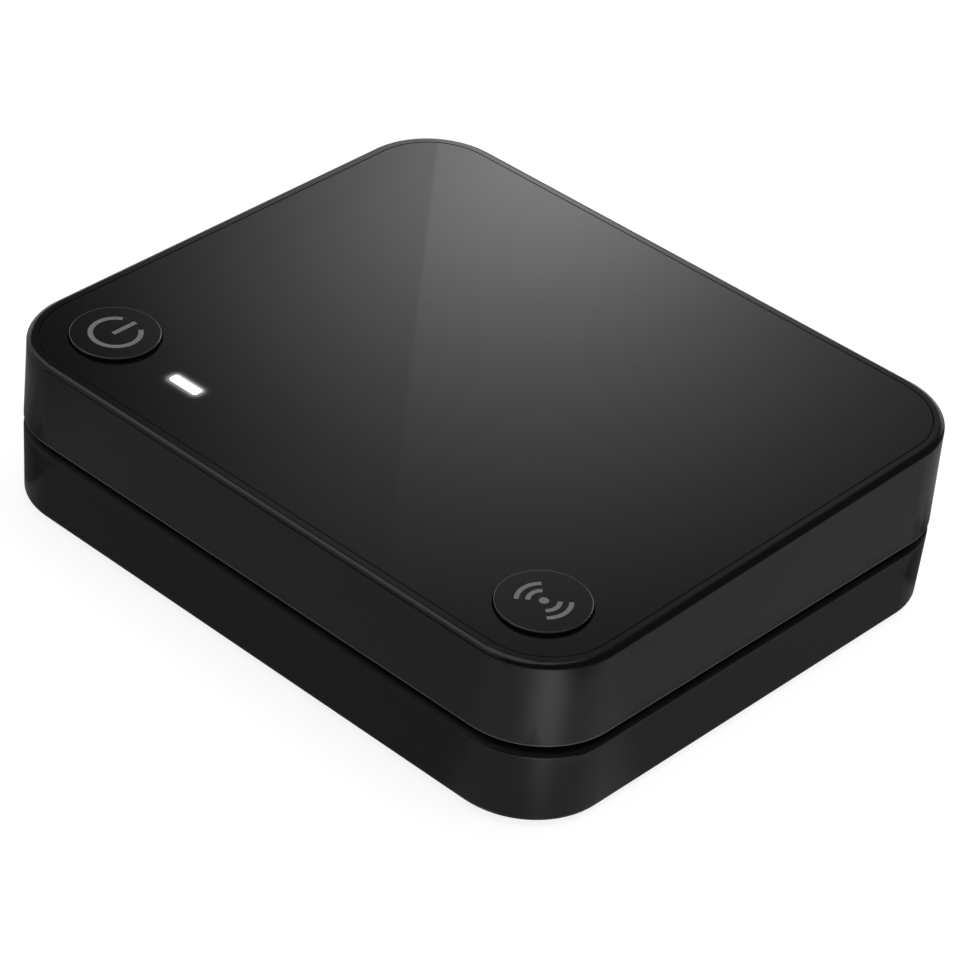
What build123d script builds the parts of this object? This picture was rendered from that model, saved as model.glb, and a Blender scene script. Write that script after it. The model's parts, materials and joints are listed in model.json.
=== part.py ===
from build123d import *
from math import atan2, copysign, cos, degrees, radians, tan
import os

os.makedirs("parts", exist_ok=True)

# A desktop wireless audio receiver, in millimetres. +Z is up, the front is -Y and the ports face +Y.
# The origin is the centre of the footprint, on the plane that the feet rest on.

# --- Housing ---
width = 90.0  # outline where the shells part
depth = 75.0
corner_radius = 10.45
front_height = 22.12  # feet to rim at the front
back_height = 24.67  # feet to rim at the back
base_height = 10.3  # feet to the top of the base's outer wall
shadow_gap = 1.0  # open line between the shells
wall = 2.4
floor_thickness = 2.0
top_draft = 1.0  # degrees
base_draft = 1.4  # degrees
rim_width = 1.37  # from the rim's outline to the seam round the top plate
rim_fillet = 0.68
parting_chamfer = 0.1  # lower outer edge of the top shell
shoulder_fillet = 0.7  # upper outer edge of the base
bottom_fillet = 0.7
groove_depth = 1.3  # how far the shadow gap goes in
lip_reach = 2.0  # how far the base's lip goes up inside the top shell
lip_clearance = 0.1

# --- Top plate on the top shell's deck ---
plate_thickness = 1.2
plate_seam = 0.1
plate_edge_chamfer = 0.06
adhesive_thickness = 0.15
adhesive_margin = 1.2
deck_thickness = 1.65

# --- Buttons, measured in the slanting top plane ---
button_side_inset = 10.7  # from the side to the nearer button's centre
button_front_inset = 10.4  # from the front to both centres
cap_radius = 5.45
cap_proud = 0.52
cap_edge_fillet = 0.15
cap_wall = 1.2
cap_clearance = 0.15  # round the cap, in the plate and in the deck
flange_radius = 6.3
flange_thickness = 0.8
flange_clearance = 0.25
key_width = 1.6
key_reach = 0.6
stem_radius = 1.6
stem_length = 1.4
button_slack = 0.1  # between flange and deck at rest
button_travel = 0.35
collar_wall = 1.0

# --- Tactile switches ---
switch_size = 5.2
switch_height = 1.5
switch_corner = 0.6
plunger_radius = 1.25
plunger_proud = 0.6
plunger_seat = 0.3  # how far the plunger reaches into its switch at rest
plunger_clearance = 0.1
terminal_width = 0.9
terminal_reach = 0.7
terminal_thickness = 0.2

# --- Light bar ---
light_offset_x = 12.87  # from the power button's centre
light_offset_y = -0.8
light_length = 4.8
light_width = 1.45
light_corner = 0.35
light_clearance = 0.06
light_flange_margin = 0.8
light_flange_thickness = 0.8
light_gap = 0.3  # from the lamp to the light pipe
led_length = 3.2
led_width = 1.3
led_height = 1.0
led_lens_length = 2.2
gasket_wall = 0.7

# --- Control board ---
control_thickness = 1.0
control_overhang = 5.2  # past the outer buttons' centres
control_front = 5.6  # from the button line to its front edge
control_back = 6.5
control_corner = 4.6
post_radius = 2.0
post_offset_x = 9.0  # from a button's centre to the post beside it
post_offset_y = 4.3
front_post_offset = 3.3

# --- Main board ---
standoff_height = 3.0
board_thickness = 1.6
board_margin = 2.0
standoff_radius = 2.6
standoff_inset_x = 9.5  # from the side of the housing
standoff_inset_front = 15.5
rear_standoff_x = 27.5
rear_standoff_inset = 17.5

# --- Screws and feet ---
board_screw_radius = 1.0
board_screw_length = 4.5
board_screw_head_radius = 1.9
board_screw_head_height = 1.2
case_screw_radius = 1.3
case_screw_length = 15.0
case_screw_head_radius = 2.4
case_screw_head_height = 1.8
screw_clearance = 0.02  # round a shank in its pilot hole
shank_clearance = 0.25  # round a shank in a through hole
head_clearance = 0.3
drive_slot_width = 0.5
drive_slot_share = 0.6  # of the head's width
column_radius = 4.0
boss_radius = 3.2
foot_inset_x = 9.5
foot_inset_y = 9.0
foot_radius = 4.8
foot_proud = 0.6
foot_recess = 1.0
foot_clearance = 0.15
foot_chamfer = 0.4

# --- Front catches ---
catch_offset = 18.0
catch_width = 6.0
catch_reach = 0.6
catch_height = 0.8
catch_clearance = 0.2

# --- Rear panel ---
window_width = 60.0
window_bottom = 5.6
window_top = 17.6
window_corner = 1.5
panel_recess = 0.35
panel_clearance = 0.12
panel_wall = 1.7
panel_flange = 1.2
panel_flange_thickness = 1.2
panel_pocket_margin = 1.2
panel_edge_fillet = 0.3
rib_thickness = 1.5
rib_length = 40.0
port_clearance = 0.15
mouth_recess = 0.1  # how far a port's mouth lies behind the panel's face

# --- Ports ---
jack_x = 18.0
jack_bore_radius = 1.8
jack_bore_depth = 14.5
jack_nose_radius = 2.9
jack_width = 6.6
jack_height = 6.0
jack_back_wall = 1.0
jack_mouth_chamfer = 0.35
contact_width = 0.8
contact_reach = 0.9
contact_thickness = 0.25
contact_pitch = 3.2

optical_x = 0.0
optical_width = 9.7
optical_height = 9.4
optical_wall = 0.85
optical_nose_width = 8.9
optical_nose_height = 8.2
optical_depth = 14.0
optical_bevel = 1.1
optical_back_wall = 3.0
emitter_radius = 1.2
shutter_clearance = 0.15
shutter_thickness = 0.6
shutter_recess = 0.5
shutter_barrel_radius = 0.75
shutter_pin_radius = 0.35
shutter_pin_clearance = 0.05

usb_x = -18.0
usb_width = 7.6
usb_height = 2.7
usb_shell = 0.3
usb_depth = 7.5
usb_bevel = 0.7
tongue_width = 3.6
tongue_thickness = 0.65
tongue_gap = 0.6  # from the shell's mouth back to the tongue's tip
tongue_seat = 1.5
tongue_rise = 0.3

# --- Ribbon between the boards ---
ribbon_width = 8.0
ribbon_thickness = 0.3
ribbon_bend = 1.9
ribbon_loop = 5.0  # how far it swings out behind its sockets
socket_width = 11.0
socket_depth = 4.2
socket_height = 2.0
upper_socket_back = 1.2  # from its mouth to the control board's rear edge
slot_depth = 2.4
ribbon_clearance = 0.05

# --- Components ---
radio_size = (14.0, 22.0, 0.8)
radio_inset_x = 21.0  # from the left side to the module's centre
radio_gap = 6.5  # from the inductor to the module's rear edge
shield_size = (12.0, 14.5, 2.0)
shield_offset = 2.4
shield_sheet = 0.25
shield_corner = 0.6
castellation_pitch = 1.9
castellation_count = 7
castellation_radius = 0.4
antenna_turns = 4
antenna_width = 0.5
antenna_pitch = 1.25
antenna_reach = 3.4
antenna_margin = 0.8  # from the shield
copper_thickness = 0.07
converter_size = (6.5, 4.4, 1.0)
converter_pitch = 0.75
converter_offset = (-4.0, -11.0)  # from the amplifier
amplifier_size = (4.9, 3.9, 1.4)
amplifier_pitch = 1.27
amplifier_offset = 2.0  # from the jack, along the back
amplifier_inset = 24.5  # from the back
regulator_size = (6.5, 3.5, 1.6)
regulator_pitch = 2.3
regulator_offset = 1.0  # from the power inlet, along the back
regulator_inset = 18.5  # from the back
lead_reach = 0.9
lead_width = 0.35
lead_thickness = 0.3
can_radius = 2.5
can_height = 5.4
can_chamfer = 0.4
can_base = 5.3
can_base_height = 0.6
can_pitch = 7.0
supply_can_offset = (2.5, -9.5)  # from the regulator to the first of its two cans
output_can_offset = (-13.5, 0.5)  # from the amplifier to the first of its two cans
inductor_size = 6.0
inductor_height = 2.8
inductor_corner = 1.4
inductor_offset = (-8.5, -7.5)  # from the regulator
crystal_size = (5.0, 3.2, 1.0)
crystal_offset = (16.0, 3.0)  # from the radio module
chip_capacitor_size = (1.6, 0.8, 0.8)
chip_capacitor_pitch = 2.0
chip_capacitor_count = 6
chip_capacitor_row = 6.0  # from the converter's centre

# --- Worked out from the sizes above ---
parting_z = base_height + shadow_gap
front_lean = (front_height - parting_z) * tan(radians(top_draft))
back_lean = (back_height - parting_z) * tan(radians(top_draft))
tilt = degrees(atan2(back_height - front_height, depth - front_lean - back_lean))
mid_height = front_height + (depth / 2 - front_lean) * tan(radians(tilt))
mid_lean = (mid_height - parting_z) * tan(radians(top_draft))
top_plane = Plane(origin=(0, 0, mid_height)).rotated((tilt, 0, 0))
top_axis = Axis(top_plane.origin, top_plane.z_dir)

plate_pocket = plate_thickness + adhesive_thickness
roof = plate_pocket + deck_thickness
pocket_inset = mid_lean + rim_width
pocket_width = width - 2 * pocket_inset
pocket_depth = (depth - 2 * pocket_inset) / cos(radians(tilt))
pocket_radius = corner_radius - pocket_inset

power_spot = (button_side_inset - width / 2, button_front_inset - depth / 2)
pair_spot = (width / 2 - button_side_inset, button_front_inset - depth / 2)
button_spots = (power_spot, pair_spot)
light_spot = (power_spot[0] + light_offset_x, power_spot[1] + light_offset_y)
cap_hole_radius = cap_radius + cap_clearance

flange_top = roof + button_slack  # depths under the top plane
flange_bottom = flange_top + flange_thickness
stem_bottom = flange_bottom + stem_length
switch_top = stem_bottom + plunger_proud
control_top = switch_top + switch_height
control_bottom = control_top + control_thickness
collar_height = button_slack + flange_thickness + button_travel + flange_clearance
collar_radius = flange_radius + flange_clearance

control_width = pair_spot[0] - power_spot[0] + 2 * control_overhang
control_centre = ((power_spot[0] + pair_spot[0]) / 2, power_spot[1] + (control_back - control_front) / 2)
post_spots = (
    (power_spot[0] + post_offset_x, power_spot[1] + post_offset_y),
    (pair_spot[0] - post_offset_x, pair_spot[1] + post_offset_y),
    (control_centre[0], power_spot[1] - front_post_offset),
)

floor_top = foot_proud + floor_thickness
board_bottom = floor_top + standoff_height
board_top = board_bottom + board_thickness
standoff_spots = (
    (standoff_inset_x - width / 2, standoff_inset_front - depth / 2),
    (width / 2 - standoff_inset_x, standoff_inset_front - depth / 2),
    (-rear_standoff_x, depth / 2 - rear_standoff_inset),
    (rear_standoff_x, depth / 2 - rear_standoff_inset),
)
foot_x = width / 2 - foot_inset_x
foot_y = depth / 2 - foot_inset_y
foot_spots = ((-foot_x, -foot_y), (foot_x, -foot_y), (-foot_x, foot_y), (foot_x, foot_y))
case_screw_spots = foot_spots[2:]
foot_seat = foot_proud + foot_recess
case_screw_seat = foot_seat + case_screw_head_height + head_clearance

catch_bottom = parting_z + (lip_reach - catch_height) / 2
catch_spots = (
    (-catch_offset, groove_depth - depth / 2),
    (catch_offset, groove_depth - depth / 2),
)

window_height = window_top - window_bottom
window_middle = (window_top + window_bottom) / 2
panel_lean = (window_top + panel_flange - parting_z) * tan(radians(top_draft))
flange_face = wall + panel_lean + lip_clearance  # distances in from the back
panel_back = flange_face + panel_flange_thickness
port_mouth = panel_recess + mouth_recess
port_body = panel_back + head_clearance
jack_z = board_top + jack_height / 2
optical_z = board_top + optical_height / 2
usb_z = board_top + usb_height / 2
optical_room_width = optical_nose_width - 2 * optical_wall
optical_room_height = optical_nose_height - 2 * optical_wall
hinge_z = optical_z + optical_room_height / 2 - shutter_barrel_radius - shutter_clearance
hinge_inset = port_mouth + shutter_recess + shutter_barrel_radius
hinge_plane = Plane((optical_x, depth / 2 - hinge_inset, hinge_z), x_dir=(0, 1, 0), z_dir=(1, 0, 0))
optical_room_bevel = optical_bevel - 2 * optical_wall * (1 - cos(radians(45)))  # keeps the wall's thickness

notch_width = foot_inset_x + column_radius + head_clearance
notch_depth = foot_inset_y + column_radius + head_clearance
notch_spots = [
    (copysign((width - notch_width) / 2, x), (depth - notch_depth) / 2) for x, y in case_screw_spots
]

regulator_spot = (usb_x + regulator_offset, depth / 2 - regulator_inset)
inductor_spot = (regulator_spot[0] + inductor_offset[0], regulator_spot[1] + inductor_offset[1])
radio_back = inductor_spot[1] - inductor_size / 2 - radio_gap
radio_spot = (radio_inset_x - width / 2, radio_back - radio_size[1] / 2)
shield_spot = (radio_spot[0], radio_spot[1] + shield_offset)
antenna_y = shield_spot[1] - shield_size[1] / 2 - antenna_margin
crystal_spot = (radio_spot[0] + crystal_offset[0], radio_spot[1] + crystal_offset[1])
supply_can = (regulator_spot[0] + supply_can_offset[0], regulator_spot[1] + supply_can_offset[1])
amplifier_spot = (jack_x + amplifier_offset, depth / 2 - amplifier_inset)
converter_spot = (amplifier_spot[0] + converter_offset[0], amplifier_spot[1] + converter_offset[1])
output_can = (amplifier_spot[0] + output_can_offset[0], amplifier_spot[1] + output_can_offset[1])
can_spots = (
    supply_can,
    (supply_can[0] + can_pitch, supply_can[1]),
    output_can,
    (output_can[0], output_can[1] - can_pitch),
)


def under(distance):
    """The plane at this distance under the slanting top, seen from above."""
    return top_plane.offset(-distance)


def level(height):
    """The horizontal plane at this height over the feet."""
    return Plane.XY.offset(height)


def inside_back(distance):
    """The upright plane at this distance in from the back, its normal pointing into the housing."""
    return Plane.XZ.offset(distance - depth / 2)


def outline(inset, mode=Mode.ADD):
    """The housing's rounded outline, drawn this far inside the parting outline."""
    RectangleRounded(width - 2 * inset, depth - 2 * inset, corner_radius - inset, mode=mode)


def light_outline(margin, mode=Mode.ADD):
    """The light bar's rounded outline, this much larger all round."""
    with Locations(light_spot):
        RectangleRounded(
            light_length + 2 * margin, light_width + 2 * margin, light_corner + margin, mode=mode
        )


# --- Top shell: drafted walls under a slanting deck, with a raised rim round the plate's pocket ---
with BuildPart() as top_block:
    with BuildSketch(level(parting_z)):
        outline(0)
    extrude(amount=back_height, taper=top_draft)
    split(bisect_by=top_plane, keep=Keep.BOTTOM)

with BuildPart() as top_room:
    with BuildSketch(level(parting_z)):
        outline(wall)
    extrude(amount=back_height, taper=top_draft)
    split(bisect_by=under(roof), keep=Keep.BOTTOM)

with BuildPart() as top_posts:
    with BuildSketch(level(parting_z + lip_clearance)):
        with Locations(*case_screw_spots):
            Circle(boss_radius)
    extrude(amount=back_height)
    with BuildSketch(under(control_top)):
        with Locations(*post_spots):
            Circle(post_radius)
    extrude(amount=control_top)
    with BuildSketch(under(roof + collar_height)):
        with Locations(*button_spots):
            Circle(collar_radius + collar_wall)
    extrude(amount=roof + collar_height)
    split(bisect_by=under(roof - deck_thickness / 2), keep=Keep.BOTTOM)
    add(top_block.part, mode=Mode.INTERSECT)

with BuildPart() as top_shell:
    add(top_block.part)
    fillet(top_shell.faces().sort_by(Axis.Z)[-1].edges(), rim_fillet)
    chamfer(top_shell.faces().sort_by(Axis.Z)[0].edges(), parting_chamfer)
    add(top_room.part, mode=Mode.SUBTRACT)
    add(top_posts.part)
    # The lower inner edge is cut back for the base's lip, with a pocket for each front catch.
    with BuildSketch(level(parting_z)):
        outline(groove_depth - lip_clearance)
        outline(wall + lip_clearance, mode=Mode.SUBTRACT)
    extrude(amount=lip_reach + lip_clearance, mode=Mode.SUBTRACT)
    with BuildSketch(level(catch_bottom - catch_clearance)):
        with Locations(*catch_spots):
            Rectangle(
                catch_width + 2 * catch_clearance,
                2 * (catch_reach + catch_clearance),
            )
    extrude(amount=catch_height + 2 * catch_clearance, mode=Mode.SUBTRACT)
    # The top: the plate's pocket, and the buttons' and light pipe's ways through the deck.
    with BuildSketch(top_plane):
        RectangleRounded(pocket_width, pocket_depth, pocket_radius)
    extrude(amount=-plate_pocket, mode=Mode.SUBTRACT)
    with BuildSketch(under(plate_pocket)):
        with Locations(*button_spots):
            Circle(cap_hole_radius)
        light_outline(light_clearance)
    extrude(amount=-deck_thickness, mode=Mode.SUBTRACT)
    with BuildSketch(under(roof)):
        with Locations(*button_spots):
            Circle(collar_radius)
            with Locations((0, collar_radius)):
                Rectangle(key_width + 2 * flange_clearance, 2 * key_reach)
    extrude(amount=-collar_height, mode=Mode.SUBTRACT)
    # Pilot holes, and the window that the rear panel closes.
    with BuildSketch(under(control_top)):
        with Locations(*post_spots):
            Circle(board_screw_radius + screw_clearance)
    extrude(amount=board_screw_length, mode=Mode.SUBTRACT)
    with BuildSketch(level(parting_z)):
        with Locations(*case_screw_spots):
            Circle(case_screw_radius + screw_clearance)
    extrude(amount=case_screw_seat + case_screw_length + lip_clearance - parting_z, mode=Mode.SUBTRACT)
    with BuildSketch(inside_back(0)):
        with Locations((0, window_middle)):
            RectangleRounded(window_width, window_height, window_corner)
    extrude(amount=flange_face, mode=Mode.SUBTRACT)
top_shell.part.label = "top_shell"
export_step(top_shell.part, "parts/top_shell.step")

# --- Base shell: a drafted tray with the lip that stands in the shadow gap ---
with BuildPart() as base_shell:
    with BuildSketch(level(base_height)):
        outline(0)
    extrude(amount=foot_proud - base_height, taper=base_draft)
    fillet(base_shell.faces().sort_by(Axis.Z)[-1].edges(), shoulder_fillet)
    fillet(base_shell.faces().sort_by(Axis.Z)[0].edges(), bottom_fillet)
    with BuildSketch(level(base_height)):
        outline(wall)
    extrude(amount=floor_top - base_height, taper=base_draft, mode=Mode.SUBTRACT)
    with BuildSketch(level(base_height)):
        outline(groove_depth)
        outline(wall, mode=Mode.SUBTRACT)
    extrude(amount=shadow_gap + lip_reach)
    with BuildSketch(level(catch_bottom)):
        with Locations(*catch_spots):
            Rectangle(catch_width, 2 * catch_reach)
    extrude(amount=catch_height)
    # Standoffs for the main board, columns for the case screws, and a rib behind the rear panel.
    with BuildSketch(level(floor_top)):
        with Locations(*standoff_spots):
            Circle(standoff_radius)
    extrude(amount=standoff_height)
    with BuildSketch(level(floor_top)):
        with Locations(*case_screw_spots):
            Circle(column_radius)
    extrude(amount=parting_z - floor_top)
    with BuildSketch(level(floor_top)):
        with Locations((0, depth / 2 - panel_back - lip_clearance - rib_thickness / 2)):
            Rectangle(rib_length, rib_thickness)
    extrude(amount=standoff_height - head_clearance)
    # Pilot holes, screw ways and the feet's recesses.
    with BuildSketch(level(board_bottom)):
        with Locations(*standoff_spots):
            Circle(board_screw_radius + screw_clearance)
    extrude(amount=board_thickness - board_screw_length, mode=Mode.SUBTRACT)
    with BuildSketch(level(foot_proud)):
        with Locations(*foot_spots):
            Circle(foot_radius + foot_clearance)
    extrude(amount=foot_recess, mode=Mode.SUBTRACT)
    with BuildSketch(level(foot_seat)):
        with Locations(*case_screw_spots):
            Circle(case_screw_head_radius + head_clearance)
    extrude(amount=case_screw_seat - foot_seat, mode=Mode.SUBTRACT)
    with BuildSketch(level(case_screw_seat)):
        with Locations(*case_screw_spots):
            Circle(case_screw_radius + shank_clearance)
    extrude(amount=parting_z - case_screw_seat, mode=Mode.SUBTRACT)
    with BuildSketch(inside_back(0)):
        with Locations((0, window_middle)):
            RectangleRounded(window_width, window_height, window_corner)
    extrude(amount=flange_face, mode=Mode.SUBTRACT)
base_shell.part.label = "base_shell"
export_step(base_shell.part, "parts/base_shell.step")

# --- Top plate and the adhesive sheet under it ---
with BuildPart() as top_plate:
    with BuildSketch(under(plate_thickness)):
        RectangleRounded(
            pocket_width - 2 * plate_seam, pocket_depth - 2 * plate_seam, pocket_radius - plate_seam
        )
        with Locations(*button_spots):
            Circle(cap_hole_radius, mode=Mode.SUBTRACT)
        light_outline(light_clearance, mode=Mode.SUBTRACT)
    extrude(amount=plate_thickness)
    chamfer(top_plate.faces().sort_by(Axis.Z)[-1].edges(), plate_edge_chamfer)
top_plate.part.label = "top_plate"
export_step(top_plate.part, "parts/top_plate.step")

with BuildPart() as plate_adhesive:
    with BuildSketch(under(plate_pocket)):
        RectangleRounded(
            pocket_width - 2 * adhesive_margin,
            pocket_depth - 2 * adhesive_margin,
            pocket_radius - adhesive_margin,
        )
        with Locations(*button_spots):
            Circle(cap_hole_radius + adhesive_margin / 2, mode=Mode.SUBTRACT)
        light_outline(adhesive_margin / 2, mode=Mode.SUBTRACT)
    extrude(amount=adhesive_thickness)
plate_adhesive.part.label = "plate_adhesive"
export_step(plate_adhesive.part, "parts/plate_adhesive.step")


# --- Buttons: a hollow cap, a keyed flange that stops under the deck, and a stem ---
def make_button(spot):
    """A push button whose cap stands proud of the plate at this spot of the top plane."""
    with BuildPart() as button:
        with BuildSketch(under(-cap_proud)):
            with Locations(spot):
                Circle(cap_radius)
        extrude(amount=-(cap_proud + flange_bottom))
        fillet(button.faces().sort_by(Axis.Z)[-1].edges(), cap_edge_fillet)
        with BuildSketch(under(flange_bottom)):
            with Locations(spot):
                Circle(flange_radius)
                with Locations((0, flange_radius)):
                    Rectangle(key_width, key_reach)
        extrude(amount=flange_thickness)
        with BuildSketch(under(flange_bottom)):
            with Locations(spot):
                Circle(cap_radius - cap_wall)
        extrude(amount=flange_bottom + cap_proud - cap_wall, mode=Mode.SUBTRACT)
        with BuildSketch(under(stem_bottom)):
            with Locations(spot):
                Circle(stem_radius)
        extrude(amount=stem_bottom + cap_proud - cap_wall / 2)
    return button


def make_plunger(spot):
    """The switch's plunger, which moves with the button over it."""
    with BuildPart() as plunger:
        with BuildSketch(under(switch_top + plunger_seat)):
            with Locations(spot):
                Circle(plunger_radius)
        extrude(amount=plunger_proud + plunger_seat)
    return plunger


def make_switch(spot):
    """A square tactile switch on the control board, with a well for its plunger and four terminals."""
    with BuildPart() as switch:
        with BuildSketch(under(control_top)):
            with Locations(spot):
                Rectangle(switch_size, switch_size)
        extrude(amount=switch_height)
        fillet(switch.edges().filter_by(top_axis), switch_corner)
        with BuildSketch(under(switch_top)):
            with Locations(spot):
                Circle(plunger_radius + plunger_clearance)
        extrude(amount=-(plunger_seat + button_travel + plunger_clearance), mode=Mode.SUBTRACT)
        with BuildSketch(under(control_top)):
            with Locations(spot):
                with GridLocations(switch_size + terminal_reach, switch_size / 2, 2, 2):
                    Rectangle(terminal_reach, terminal_width)
        extrude(amount=terminal_thickness)
    return switch


power_button = make_button(power_spot)
power_button.part.label = "power_button"
export_step(power_button.part, "parts/power_button.step")

pair_button = make_button(pair_spot)
pair_button.part.label = "pair_button"
export_step(pair_button.part, "parts/pair_button.step")

power_switch_plunger = make_plunger(power_spot)
power_switch_plunger.part.label = "power_switch_plunger"
export_step(power_switch_plunger.part, "parts/power_switch_plunger.step")

pair_switch_plunger = make_plunger(pair_spot)
pair_switch_plunger.part.label = "pair_switch_plunger"
export_step(pair_switch_plunger.part, "parts/pair_switch_plunger.step")

power_switch = make_switch(power_spot)
power_switch.part.label = "power_switch"
export_step(power_switch.part, "parts/power_switch.step")

pair_switch = make_switch(pair_spot)
pair_switch.part.label = "pair_switch"
export_step(pair_switch.part, "parts/pair_switch.step")

# --- Light bar: a clear pipe through plate and deck, a foam frame and the lamp ---
with BuildPart() as light_pipe:
    with BuildSketch(top_plane):
        light_outline(0)
    extrude(amount=light_gap + led_height - control_top)
    with BuildSketch(under(roof)):
        light_outline(light_flange_margin)
    extrude(amount=-light_flange_thickness)
light_pipe.part.label = "light_pipe"
export_step(light_pipe.part, "parts/light_pipe.step")

with BuildPart() as light_gasket:
    with BuildSketch(under(control_top)):
        light_outline(light_clearance + gasket_wall)
        light_outline(light_clearance, mode=Mode.SUBTRACT)
    extrude(amount=control_top - roof - light_flange_thickness)
light_gasket.part.label = "light_gasket"
export_step(light_gasket.part, "parts/light_gasket.step")

with BuildPart() as status_led:
    with BuildSketch(under(control_top)):
        with Locations(light_spot):
            Rectangle(led_length, led_width)
    extrude(amount=led_height / 2)
    with BuildSketch(under(control_top - led_height / 2)):
        with Locations(light_spot):
            Rectangle(led_lens_length, led_width)
    extrude(amount=led_height / 2)
status_led.part.label = "status_led"
export_step(status_led.part, "parts/status_led.step")

# --- Control board, held to the deck's posts from below ---
with BuildPart() as control_board:
    with BuildSketch(under(control_bottom)):
        with Locations(control_centre):
            RectangleRounded(control_width, control_front + control_back, control_corner)
        with Locations(*post_spots):
            Circle(board_screw_radius + shank_clearance, mode=Mode.SUBTRACT)
    extrude(amount=control_thickness)
control_board.part.label = "control_board"
export_step(control_board.part, "parts/control_board.step")


# --- Screws ---
def make_screws(seats, shank_radius, shank_length, head_radius, head_height):
    """Cross-headed screws, one for each seat: a plane under the head, its normal towards the head."""
    slot_length = 2 * head_radius * drive_slot_share
    with BuildPart() as screws:
        for seat in seats:
            with BuildSketch(seat):
                Circle(head_radius)
            extrude(amount=head_height)
            with BuildSketch(seat):
                Circle(shank_radius)
            extrude(amount=-shank_length)
            with BuildSketch(seat.offset(head_height)):
                Rectangle(slot_length, drive_slot_width)
                Rectangle(drive_slot_width, slot_length)
            extrude(amount=-head_height / 2, mode=Mode.SUBTRACT)
    return screws


control_seats = [
    Plane(under(control_bottom).from_local_coords(Vector(x, y, 0)), z_dir=-top_plane.z_dir)
    for x, y in post_spots
]
control_board_screws = make_screws(
    control_seats,
    board_screw_radius,
    board_screw_length,
    board_screw_head_radius,
    board_screw_head_height,
)
control_board_screws.part.label = "control_board_screws"
export_step(control_board_screws.part, "parts/control_board_screws.step")

main_seats = [Plane((x, y, board_top)) for x, y in standoff_spots]
main_board_screws = make_screws(
    main_seats,
    board_screw_radius,
    board_screw_length,
    board_screw_head_radius,
    board_screw_head_height,
)
main_board_screws.part.label = "main_board_screws"
export_step(main_board_screws.part, "parts/main_board_screws.step")

case_seats = [Plane((x, y, case_screw_seat), z_dir=(0, 0, -1)) for x, y in case_screw_spots]
case_screws = make_screws(
    case_seats,
    case_screw_radius,
    case_screw_length,
    case_screw_head_radius,
    case_screw_head_height,
)
case_screws.part.label = "case_screws"
export_step(case_screws.part, "parts/case_screws.step")

# --- Feet, glued into the base's recesses; the rear two cover the case screws ---
with BuildPart() as rubber_feet:
    with BuildSketch(level(0)):
        with Locations(*foot_spots):
            Circle(foot_radius)
    extrude(amount=foot_seat)
    chamfer(rubber_feet.edges().group_by(Axis.Z)[0], foot_chamfer)
rubber_feet.part.label = "rubber_feet"
export_step(rubber_feet.part, "parts/rubber_feet.step")

# --- Main board ---
with BuildPart() as main_board:
    with BuildSketch(level(board_bottom)):
        outline(wall + board_margin)
        with Locations(*notch_spots):
            Rectangle(notch_width, notch_depth, mode=Mode.SUBTRACT)
        with Locations(*standoff_spots):
            Circle(board_screw_radius + shank_clearance, mode=Mode.SUBTRACT)
    extrude(amount=board_thickness)
main_board.part.label = "main_board"
export_step(main_board.part, "parts/main_board.step")


# --- Rear panel: trapped between the shells by its flange ---
def bevelled(width_across, height_up, bevel, mode=Mode.ADD):
    """A port's outline, a rectangle with its two lower corners cut off."""
    half = width_across / 2
    low = -height_up / 2
    Polygon(
        (-half, height_up / 2),
        (half, height_up / 2),
        (half, low + bevel),
        (half - bevel, low),
        (bevel - half, low),
        (-half, low + bevel),
        align=None,
        mode=mode,
    )


with BuildPart() as rear_panel:
    with BuildSketch(inside_back(panel_recess)):
        with Locations((0, window_middle)):
            RectangleRounded(
                window_width - 2 * panel_clearance, window_height - 2 * panel_clearance, window_corner
            )
    extrude(amount=panel_back - panel_recess)
    with BuildSketch(inside_back(flange_face)):
        with Locations((0, window_middle)):
            RectangleRounded(
                window_width + 2 * panel_flange, window_height + 2 * panel_flange, window_corner
            )
    extrude(amount=panel_flange_thickness)
    with BuildSketch(inside_back(panel_recess + panel_wall)):
        with Locations((0, window_middle)):
            RectangleRounded(
                window_width - 2 * panel_pocket_margin,
                window_height - 2 * panel_pocket_margin,
                window_corner / 2,
            )
    extrude(amount=panel_back - panel_recess - panel_wall, mode=Mode.SUBTRACT)
    with BuildSketch(inside_back(panel_recess)):
        with Locations((jack_x, jack_z)):
            Circle(jack_nose_radius + port_clearance)
        with Locations((optical_x, optical_z)):
            bevelled(
                optical_nose_width + 2 * port_clearance,
                optical_nose_height + 2 * port_clearance,
                optical_bevel,
            )
        with Locations((usb_x, usb_z)):
            bevelled(usb_width + 2 * port_clearance, usb_height + 2 * port_clearance, usb_bevel)
    extrude(amount=panel_wall, mode=Mode.SUBTRACT)
    fillet(rear_panel.faces().sort_by(Axis.Y)[-1].outer_wire().edges(), panel_edge_fillet)
rear_panel.part.label = "rear_panel"
export_step(rear_panel.part, "parts/rear_panel.step")

# --- Line-out jack, a 3.5 mm stereo socket ---
with BuildPart() as line_out_jack:
    with BuildSketch(inside_back(port_body)):
        with Locations((jack_x, jack_z)):
            Rectangle(jack_width, jack_height)
    extrude(amount=port_mouth + jack_bore_depth + jack_back_wall - port_body)
    with BuildSketch(inside_back(port_mouth)):
        with Locations((jack_x, jack_z)):
            Circle(jack_nose_radius)
    extrude(amount=port_body - port_mouth)
    with BuildSketch(inside_back(port_mouth)):
        with Locations((jack_x, jack_z)):
            Circle(jack_bore_radius)
    extrude(amount=jack_bore_depth, mode=Mode.SUBTRACT)
    chamfer(line_out_jack.edges().group_by(Axis.Y)[-1].sort_by(SortBy.RADIUS)[0], jack_mouth_chamfer)
line_out_jack.part.label = "line_out_jack"
export_step(line_out_jack.part, "parts/line_out_jack.step")

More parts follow.
